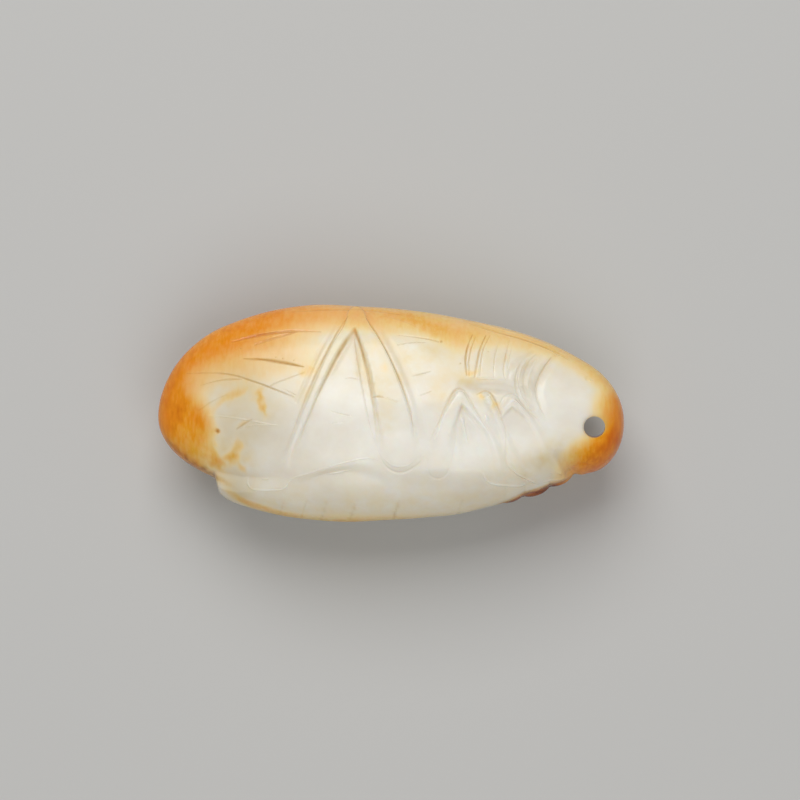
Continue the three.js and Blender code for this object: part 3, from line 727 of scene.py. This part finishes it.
def carve():
    """Cuts the ball's facets at the middle of their longest edge until all are short enough.
    Gives the directions, the points and the facets."""
    directions, facets = seed_sphere()
    points = surface(directions)
    while True:
        edges, of_facet = edges_of(facets)
        ends = points[edges]
        lengths = np.linalg.norm(ends[:, 0] - ends[:, 1], axis=1)
        marked = lengths > spacing(ends.mean(1))
        if not marked.any():
            return directions, points, facets
        longest = lengths[of_facet].argmax(1)
        longest_edge = np.take_along_axis(of_facet, longest[:, None], 1)[:, 0]
        while True:
            cut = marked[of_facet].any(1)
            if marked[longest_edge[cut]].all():
                break
            marked[longest_edge[cut]] = True
        middle = np.full(len(edges), -1)
        middle[marked] = len(directions) + np.arange(marked.sum())
        added = unit(directions[edges[marked]].sum(1))
        directions = np.vstack([directions, added])
        points = np.vstack([points, surface(added)])

        turn = (longest[:, None] + np.arange(3)) % 3
        a, b, c = np.take_along_axis(facets, turn, 1).T
        ab, bc, ca = middle[np.take_along_axis(of_facet, turn, 1)].T
        whole, left, right = ab < 0, (ab >= 0) & (ca >= 0), (ab >= 0) & (bc >= 0)
        half_left, half_right = (ab >= 0) & (ca < 0), (ab >= 0) & (bc < 0)
        facets = np.vstack([
            np.column_stack([part[kept] for part in corners])
            for kept, corners in (
                (whole, (a, b, c)),
                (half_left, (a, ab, c)), (left, (a, ab, ca)), (left, (ab, c, ca)),
                (half_right, (ab, b, c)), (right, (ab, b, bc)), (right, (ab, bc, c)),
            )
        ])


def surface_normals(directions):
    """The true normals of the carved surface."""
    helper = np.where(np.abs(directions[:, :1]) < LENGTHWISE, [[1.0, 0, 0]], [[0, 1.0, 0]])
    first = unit(np.cross(directions, helper))
    second = np.cross(directions, first)
    slopes = [
        surface(unit(directions + step)) - surface(unit(directions - step))
        for step in (NORMAL_STEP * first, NORMAL_STEP * second)
    ]
    normals = unit(np.cross(*slopes))
    inward = (normals * directions / [LENGTH, HEIGHT, THICKNESS]).sum(1) < 0
    normals[inward] *= -1
    return normals


def mesh_object(name, shape):
    """An object from a bmesh, which is used up."""
    mesh = bpy.data.meshes.new(name)
    shape.to_mesh(mesh)
    shape.free()
    return add_object(name, mesh)


def cut_away(body, cutter):
    """Takes the cutter out of the body, for good."""
    cut = body.modifiers.new("cut", "BOOLEAN")
    cut.operation = "DIFFERENCE"
    cut.solver = "MANIFOLD"
    cut.object = cutter
    result = bpy.data.meshes.new_from_object(
        body.evaluated_get(bpy.context.evaluated_depsgraph_get()),
    )
    body.modifiers.remove(cut)
    body.data = result
    bpy.data.objects.remove(cutter)


DRILL_SIDES = 96
CUTTER_REACH = 2          # the drill and the ground are this many times as long as the part
CUT_SLACK = 0.002         # how far a cut point may seem to lie off its cut, in mm
WALL_SLANT = 0.5          # a face that turns more along the bore isn't its wall
directions, carved, facets = carve()
normals = surface_normals(directions)
raw = bpy.data.meshes.new("jade_carving")
raw.from_pydata(carved.tolist(), [], facets.tolist())
cicada = add_object("jade_carving", raw)

drill = bmesh.new()
bore_axis = Vector((
    -math.tan(math.radians(BORE_TURN)), -math.tan(math.radians(BORE_LEAN)), 1,
)).normalized()
drill_turn = bore_axis.to_track_quat("Z", "Y").to_matrix().to_4x4()
drill_middle = Vector(((BORE_ALONG - 0.5) * LENGTH, BORE_UP * HEIGHT, 0))
bmesh.ops.create_cone(
    drill, cap_ends=True, segments=DRILL_SIDES, radius1=BORE / 2, radius2=BORE / 2,
    depth=CUTTER_REACH * THICKNESS, matrix=Matrix.Translation(drill_middle) @ drill_turn,
)
cut_away(cicada, mesh_object("drill", drill))

flat_up = carved[:, 2].min() + FLAT_DEPTH
ground = bmesh.new()
bmesh.ops.create_cube(
    ground, size=CUTTER_REACH * LENGTH,
    matrix=Matrix.Translation((0, HEIGHT / 2, flat_up - CUTTER_REACH * LENGTH / 2)),
)
cut_away(cicada, mesh_object("ground", ground))


def read(items, name, width):
    """One value of every vertex, face or corner of a mesh, as rows."""
    values = np.empty(len(items) * width, int if name == "vertex_index" else float)
    items.foreach_get(name, values)
    return values.reshape(-1, width)


# The normals of the carved surface come from the carving itself. The bore's wall is round
# and the flat spot is flat.
mesh = cicada.data
place = read(mesh.vertices, "co", 3)
tree = kdtree.KDTree(len(carved))
for index, point in enumerate(carved):
    tree.insert(point, index)
tree.balance()
nearest = np.array([tree.find(point)[1] for point in place])
corner = read(mesh.loops, "vertex_index", 1)[:, 0]
sides = read(mesh.polygons, "loop_total", 1)[:, 0].astype(int)
face_normal = np.repeat(read(mesh.polygons, "normal", 3), sides, axis=0)
corner_normal = normals[nearest[corner]]

from_middle = place - np.array(drill_middle)
from_axis = from_middle - np.outer(from_middle @ np.array(bore_axis), bore_axis)
on_bore = np.abs(np.linalg.norm(from_axis, axis=1) - BORE / 2) < CUT_SLACK
on_flat = np.abs(place[:, 2] - flat_up) < CUT_SLACK


def faces_on(vertices):
    """The corners of the faces whose vertices are all among these."""
    starts = np.cumsum(sides) - sides
    return np.repeat(np.minimum.reduceat(vertices[corner], starts), sides)


wall = faces_on(on_bore) & (np.abs(face_normal @ np.array(bore_axis)) < WALL_SLANT)
corner_normal[wall] = unit(-from_axis[corner[wall]])
flat = faces_on(on_flat)
corner_normal[flat] = (0, 0, -1)

# The skin of the pebble, which fades into the pale stone. The tail's and the nose's are (part
# of the height, part of the length where it is half gone), and the back's is (part of the
# length, mm below the crest where it is half gone), all in thousandths.
tail_skin = profile([
    (0, 100), (290, 105), (360, 108), (430, 115), (510, 102), (600, 78), (700, 100), (790, 187),
    (860, 260), (1000, 400),
])
tail_softness = profile([
    (0, 40), (350, 30), (500, 30), (600, 50), (700, 75), (800, 120), (1000, 130),
])
nose_skin = profile([
    (0, 850), (275, 875), (330, 892), (400, 928), (470, 946), (540, 951), (620, 966), (720, 990),
    (1000, 1060),
])
back_skin = profile([
    (0, 3800), (150, 3800), (220, 3500), (300, 2700), (390, 1900), (480, 2200), (550, 2400),
    (600, 2900), (670, 3000), (730, 2200), (800, 1700), (860, 1300), (920, 1700), (1000, 2600),
])
back_strength = profile([
    (0, 780), (100, 700), (200, 660), (300, 640), (400, 570), (480, 500), (550, 490), (650, 450),
    (750, 420), (850, 460), (930, 500), (1000, 600),
])
back_softness = profile([
    (0, 2600), (100, 2800), (250, 2600), (350, 1900), (500, 1700), (1000, 1700),
])
tail_strength = profile([
    (0, 660), (300, 650), (420, 760), (600, 820), (800, 800), (1000, 780),
])
NOSE_SOFTNESS = 0.05
NOSE_STRENGTH = 0.86

# Dabs of straw colour, in the form of the dabs of skin.
STRAW_DABS = [
    (80, 24, 4, 2.2, 15, 40), (56, 96, 5, 1.6, -10, 70), (32, 69.5, 1.1, 1, 40, 90),
    (22.4, 52, 1, 0.6, 108, 60), (21.6, 58, 0.9, 0.7, 75, 60), (33, 68, 1.2, 2.4, -15, 80),
    (38, 80, 1, 3, -20, 70), (44, 76, 0.9, 3.6, 8, 80), (50, 70, 1.6, 3, 0, 60),
    (47, 60, 0.8, 2.4, 5, 50), (55, 78, 4, 2.6, -20, 45), (62, 82, 4, 1.8, -20, 80),
    (72, 82, 4, 1.6, -12, 60), (61, 60, 1.6, 2, 0, 50), (67, 66, 1.8, 0.9, 0, 80),
    (69.2, 57.6, 0.8, 0.7, 0, 90), (72.2, 54.4, 0.5, 1, 30, 80), (85, 30, 2.6, 1.6, 20, 60),
    (82, 79, 3, 1.2, -24, 50), (90, 73, 3, 1.3, -34, 60), (95, 58, 1.6, 4, 0, 60),
    (49, 46, 0.8, 2, 0, 40), (31, 58, 1, 1, 0, 30), (17, 30, 2, 2.4, 0, 80), (20, 50, 3.4, 2.6, 0, 40),
    (75, 8, 6, 0.7, 12, 80), (9, 31, 3, 3, 0, 100), (7, 44, 2.4, 3.6, 0, 80), (19, 68, 6, 3.4, 0, 30),
    (16.4, 58.3, 1.8, 0.8, 22, 80), (18, 8, 3, 1.6, -28, 70), (91, 31, 2.6, 2.4, 30, 80),
    (95, 66, 1.6, 2.6, 30, 50),
]
# Dabs where the stone is painted a little darker, in the same form: partly a greyer tone of the stone,
# partly painted shade, as on the abdomen in the shadow of the wing's lower edge.
SHADE_DABS = [
    (19, 42, 5, 3.6, 0, 80), (16, 63, 5, 3, 0, 55), (72, 62.5, 4, 0.9, 0, 30), (79, 65, 1.2, 3, 0, 45),
    (84, 30, 2.4, 1.4, 20, 40), (17, 15, 2, 1.6, -20, 90), (25, 75, 4, 2, 0, 30),
]
# The toes of the far side, the chest below them and the edge of the wing are painted darkest: russet
# skin, darkened further with painted shade, for they lie in shadow under the body and the wing.
UNDER_WING = [(5, 30.6, 3.2, 0.35, -42, 40), (10, 23.3, 2.8, 0.32, -30, 45)]
FAR_CHEST = (0.802, -0.6)  # its middle: share of the length, mm above the middle plane
FAR_CHEST_REACH = (0.08, 2.8, 4.6)  # its reach along, up the near side and up the far side
FAR_CHEST_EDGE = (0.4, 1.3)  # where it fades, as a share of its reach
FAR_CHEST_TOP = 0.5       # share of the height that it stays below
# The belly's rim is tinted with straw and a trace of skin: partly the stone's own tint, partly painted
# shade that darkens the lowest rim.
BELLY_STRAW = 0.13        # share of the height over which the belly's tint fades
BELLY_SKIN = 0.026        # and over which a trace of skin fades
BELLY_SKIN_STRENGTH = 0.6
BELLY_SKIN_START = (0.14, 0.34)  # shares of the length between which it begins
BELLY_END = (0.7, 0.95)   # and between which both end
UPPER_STRAW = (0.42, 0.8)  # the upper half is warmer than the lower, between these
UPPER_STRAW_STRENGTH = 0.28

# What makes the edges of the dabs ragged, as waves over the side view: (directions along x
# and y per mm, how far the edge moves along x and y in mm).
RAGGED_WAVES = [
    ((2.3, 3.9), (0.13, 0.09)), ((-4.1, 2.2), (0.08, 0.12)), ((5.3, -1.6), (0.07, 0.1)),
    ((1.1, 6.2), (0.09, 0.05)), ((-6.4, -4.8), (0.05, 0.05)),
]
RAGGED_WIDTH = 0.8        # narrower dabs are less ragged, in step with their half width
RAGGED_FROM = (0.12, 0.3)  # shares of the height between which the edges turn ragged


def dabs(table, along, up):
    """The strength of all the dabs of a table together, where they overlap as well."""
    bare = np.ones(len(along))
    ragged_x, ragged_y = sum(
        np.outer(reach, np.sin(along * steps[0] + up * steps[1]))
        for steps, reach in RAGGED_WAVES
    ) * ramp(up / HEIGHT, *RAGGED_FROM)
    for *place, half_long, half_wide, turned, strength in table:
        dab_along, dab_up = place_of(*place)
        ragged = min(half_wide / RAGGED_WIDTH, 1)
        dx = along - dab_along + ragged * ragged_x
        dy = up - dab_up + ragged * ragged_y
        cos, sin = math.cos(math.radians(turned)), math.sin(math.radians(turned))
        far = ((dx * cos + dy * sin) / half_long) ** 2 + ((dy * cos - dx * sin) / half_wide) ** 2
        bare *= 1 - strength / 100 * np.exp(-far)
    return 1 - bare


along, up, near = side_view(place)
share = along / LENGTH
level = up / HEIGHT
tail = 1 - ramp((share - tail_skin(level)) / tail_softness(level), -1, 1)
crest = middle_line(share) + HEIGHT / 2 * (
    back_line(share) * np.sqrt(np.maximum(1 - (2 * share - 1) ** 2, 0))
)
below_crest = crest - up - back_skin(share)
back = (1 - ramp(below_crest / back_softness(share), -1, 1)) * back_strength(share)
nose = ramp(share - nose_skin(level), -NOSE_SOFTNESS, NOSE_SOFTNESS)
# The dark tint: russet skin together with painted shade, on the far chest and toes and along the wing's
# lower edge.
to_near_side = place[:, 2] - FAR_CHEST[1]
far_chest = np.hypot(
    (share - FAR_CHEST[0]) / FAR_CHEST_REACH[0],
    to_near_side / np.where(to_near_side > 0, FAR_CHEST_REACH[1], FAR_CHEST_REACH[2]),
)
far_chest = (1 - ramp(far_chest, *FAR_CHEST_EDGE)) * (level < FAR_CHEST_TOP)
dark = 1 - (1 - far_chest) * (1 - dabs(UNDER_WING, along, up))
# Straw and skin along the belly's rim, partly painted shade.
from_rim = np.maximum(level, 0)
before_chest = 1 - ramp(share, *BELLY_END)
rim_skin_and_shade = np.exp(-from_rim / BELLY_SKIN) * before_chest * BELLY_SKIN_STRENGTH
rim_skin_and_shade *= ramp(share, *BELLY_SKIN_START)
rim_straw_and_shade = np.exp(-from_rim / BELLY_STRAW) * before_chest
upper_straw = ramp(level, *UPPER_STRAW) * UPPER_STRAW_STRENGTH
rind = np.maximum.reduce([tail * tail_strength(level), back, nose * NOSE_STRENGTH])
# The skin tint takes in the dark tint and the belly rim's tint, so it carries painted shade there as
# well.
tints = {
    "skin": 1 - (1 - rind) * (1 - dabs(SKIN_DABS, along, up)) * (1 - rim_skin_and_shade) * (1 - dark),
    "straw": 1 - (1 - dabs(STRAW_DABS, along, up)) * (1 - rim_straw_and_shade) * (1 - upper_straw),
    "shade": dabs(SHADE_DABS, along, up),
    "brown": np.maximum(cut_depth(along, up, near)[1], ring_cuts(along, up)[1]),
    "dark": dark,
}

shift = np.array([0, 0, -flat_up])
shift[:2] = -(carved.min(0) + carved.max(0))[:2] / 2
low, high = (np.array(corner_of_box) / MM for corner_of_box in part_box("jade_cicada"))
placed = place + shift
placed *= (high - low) / (placed.max(0) - placed.min(0))
mesh.vertices.foreach_set("co", (placed * MM).ravel())
for name, values in tints.items():
    mesh.attributes.new(name, "FLOAT", "POINT").data.foreach_set("value", values)
mesh.normals_split_custom_set(corner_normal.tolist())
mesh.update()


def linear(red, green, blue):
    """A colour as it looks on a screen, 0 to 255, as the light values that Blender mixes."""
    return tuple(
        value / 255 / 12.92 if value <= 10 else ((value / 255 + 0.055) / 1.055) ** 2.4
        for value in (red, green, blue)
    ) + (1,)


JADE_WHITE = linear(241, 239, 231)
JADE_CLOUD = linear(233, 228, 217)
STRAW = linear(234, 208, 136)
# The skin from none to full strength, in even steps, and the same where it is yellower.
SKIN_COLOURS = [
    JADE_WHITE, linear(245, 222, 180), linear(245, 204, 146), linear(240, 177, 106),
    linear(235, 143, 28), linear(208, 102, 2),
]
GOLD_COLOURS = [
    JADE_WHITE, linear(243, 226, 176), linear(238, 208, 124), linear(235, 188, 70),
    linear(231, 166, 28), linear(208, 124, 8),
]
# The colour that the shade dabs multiply in: partly a greyer tone of the stone, partly painted shade.
SHADE = linear(224, 220, 211)  # what the darker stone keeps of the light
# Russet skin, and painted shade where the far chest, the toes and the wing's edge lie in shadow.
DARK_SKIN_AND_SHADE = linear(122, 56, 6)
BROWN = linear(206, 172, 88)  # what a stained cut keeps of the light

# The patterns of the stone: (bumps per metre, detail and roughness of the noise, the span of
# it that shows, what the ends of that span become). Streaks are drawn out across the length.
USUAL_SPAN = (0.3, 0.7)
PATTERNS = {
    "cloud": (180, 4, 0.6, (0.35, 0.65), (0, 1)),
    "straw": (500, 5, 0.6, USUAL_SPAN, (0.3, 1)),
    "skin streaks": (1300, 5, 0.5, USUAL_SPAN, (0.95, 1.04)),
    "skin patches": (450, 4, 0.6, USUAL_SPAN, (0.95, 1.05)),
    "skin speckles": (2600, 5, 0.5, (0.38, 0.62), (0.84, 1.1)),
    "brown": (600, 3, 0.5, USUAL_SPAN, (0.4, 0.9)),
    "dark": (500, 5, 0.6, (0.36, 0.62), (0.35, 1.3)),
    "polish": (250, 3, 0.5, USUAL_SPAN, (0.12, 0.18)),
}
GRAIN = {"Scale": 1400, "Detail": 5, "Roughness": 0.65}
STREAK_STRETCH = (1, 0.3, 0.6)
UNCHANGED = (1, 1, 1, 1)  # what leaves a product as it is
SKIN_BLEND = 0.25         # the share of skin at which no stone shows through any more

jade = bpy.data.materials.new("jade")
jade.use_nodes = True
jade_shader = jade.node_tree.nodes["Principled BSDF"]


def set_inputs(node, inputs):
    """Sets inputs of a shader node, each to a value or to a link from a socket."""
    for name, value in inputs.items():
        if isinstance(value, bpy.types.NodeSocket):
            node.id_data.links.new(value, node.inputs[name])
        else:
            node.inputs[name].default_value = value


def new_node(kind, inputs, **settings):
    """A new node of the jade, with its inputs and its settings."""
    node = jade.node_tree.nodes.new("ShaderNode" + kind)
    for name, value in settings.items():
        setattr(node, name, value)
    set_inputs(node, inputs)
    return node


object_place = new_node("TexCoord", {}).outputs["Object"]
streaked = {"Vector": object_place, "Scale": STREAK_STRETCH}
streak_place = new_node("Mapping", streaked).outputs["Vector"]


def between(value, span, becomes):
    """Maps a value from one span to another, and stays in it."""
    ends = {"From Min": span[0], "From Max": span[1], "To Min": becomes[0], "To Max": becomes[1]}
    return new_node("MapRange", {"Value": value, **ends}).outputs["Result"]


def pattern(name, where=object_place):
    """One of the patterns of the stone."""
    scale, detail, roughness, span, becomes = PATTERNS[name]
    inputs = {"Vector": where, "Scale": scale, "Detail": detail, "Roughness": roughness}
    return between(new_node("TexNoise", inputs).outputs["Fac"], span, becomes)


def attribute(name):
    """How strong one of the tints is."""
    return new_node("Attribute", {}, attribute_name=name).outputs["Fac"]


def product(first, second):
    """One value times the other."""
    return new_node("Math", {0: first, 1: second}, operation="MULTIPLY").outputs["Value"]


def mixed(share, first, second, how="MIX"):
    """A mix of two colours, each a socket or a fixed colour."""
    inputs = {"Factor": share, 6: first, 7: second}
    return new_node("Mix", inputs, data_type="RGBA", blend_type=how).outputs[2]


def ramp_of(share, colours):
    """The colour that a share has on a ramp of colours in even steps."""
    node = new_node("ValToRGB", {"Fac": share})
    stops = node.color_ramp.elements
    for index, colour in enumerate(colours):
        position = index / (len(colours) - 1)
        stop = stops[index] if index < len(stops) else stops.new(position)
        stop.position, stop.color = position, colour
    return node.outputs["Color"]


stone = mixed(pattern("cloud"), JADE_WHITE, JADE_CLOUD)
straw_share = product(attribute("straw"), pattern("straw"))
tinted = mixed(straw_share, stone, STRAW)
skin_share = product(attribute("skin"), pattern("skin streaks", streak_place))
skin_share = product(skin_share, pattern("skin patches"))
speckled = pattern("skin speckles", streak_place)
skin_share = product(skin_share, mixed(straw_share, UNCHANGED, speckled))
skin_colour = mixed(
    straw_share, ramp_of(skin_share, SKIN_COLOURS), ramp_of(skin_share, GOLD_COLOURS),
)
skinned = mixed(between(skin_share, (0, SKIN_BLEND), (0, 1)), tinted, skin_colour)
# Partly painted shade: the shade dabs darken the colour here.
shaded = mixed(attribute("shade"), skinned, SHADE, "MULTIPLY")
brown_share = product(attribute("brown"), pattern("brown"))
stained = mixed(brown_share, shaded, BROWN, "MULTIPLY")
# Partly painted shade: the dark tint darkens the far chest, the toes and the wing's edge.
dark_share = product(attribute("dark"), pattern("dark"))
grain = new_node("TexNoise", {"Vector": object_place, **GRAIN}).outputs["Fac"]
bump = new_node("Bump", {"Strength": 0.06, "Distance": 0.00006, "Height": grain})
set_inputs(jade_shader, {
    "Base Color": mixed(dark_share, stained, DARK_SKIN_AND_SHADE),
    "Roughness": pattern("polish"),
    "Normal": bump.outputs["Normal"],
    "IOR": 1.5,
    "Specular IOR Level": 0.3,
    "Subsurface Weight": 0.85,
    "Subsurface Radius": (1.0, 0.82, 0.58),
    "Subsurface Scale": 0.003,
})
mesh.materials.clear()
mesh.materials.append(jade)

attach(cicada, "root")
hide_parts("jade_cicada")

# The table that the cicada lies on: a plain pale sheet, a hair below the flat spot.
FLOOR_WIDTH = 3
FLOOR_GAP = 0.00003
FLOOR = {"Base Color": linear(192, 191, 188), "Roughness": 0.8}

sheet = bmesh.new()
bmesh.ops.create_grid(
    sheet, x_segments=1, y_segments=1, size=FLOOR_WIDTH / 2,
    matrix=Matrix.Translation((0, 0, -FLOOR_GAP)),
)
floor = mesh_object("pale_table", sheet)
paper = bpy.data.materials.new("pale_paper")
paper.use_nodes = True
set_inputs(paper.node_tree.nodes["Principled BSDF"], FLOOR)
floor.data.materials.append(paper)

# Light: a large soft box beyond the back, a weaker one beyond the belly and a pale room.
# Each light is (name, width, power in W, place).
LIGHTS = [
    ("soft_box", 0.5, 3.15, (-0.08, 0.4, 0.55)),
    ("fill", 0.6, 1.85, (0.08, -0.35, 0.6)),
]
ROOM = {"Color": (0.97, 0.98, 1, 1), "Strength": 0.22}
for name, width, power, spot in LIGHTS:
    lamp = bpy.data.lights.new(name, "AREA")
    lamp.shape = "SQUARE"
    lamp.size = width
    lamp.energy = power
    light = add_object(name, lamp)
    light.location = spot
    towards = Vector((0, 0, MIDDLE_HEIGHT)) - light.location
    light.rotation_euler = towards.to_track_quat("-Z", "Y").to_euler()
room = bpy.data.worlds.new("room")
room.use_nodes = True
set_inputs(room.node_tree.nodes["Background"], ROOM)
bpy.context.scene.world = room
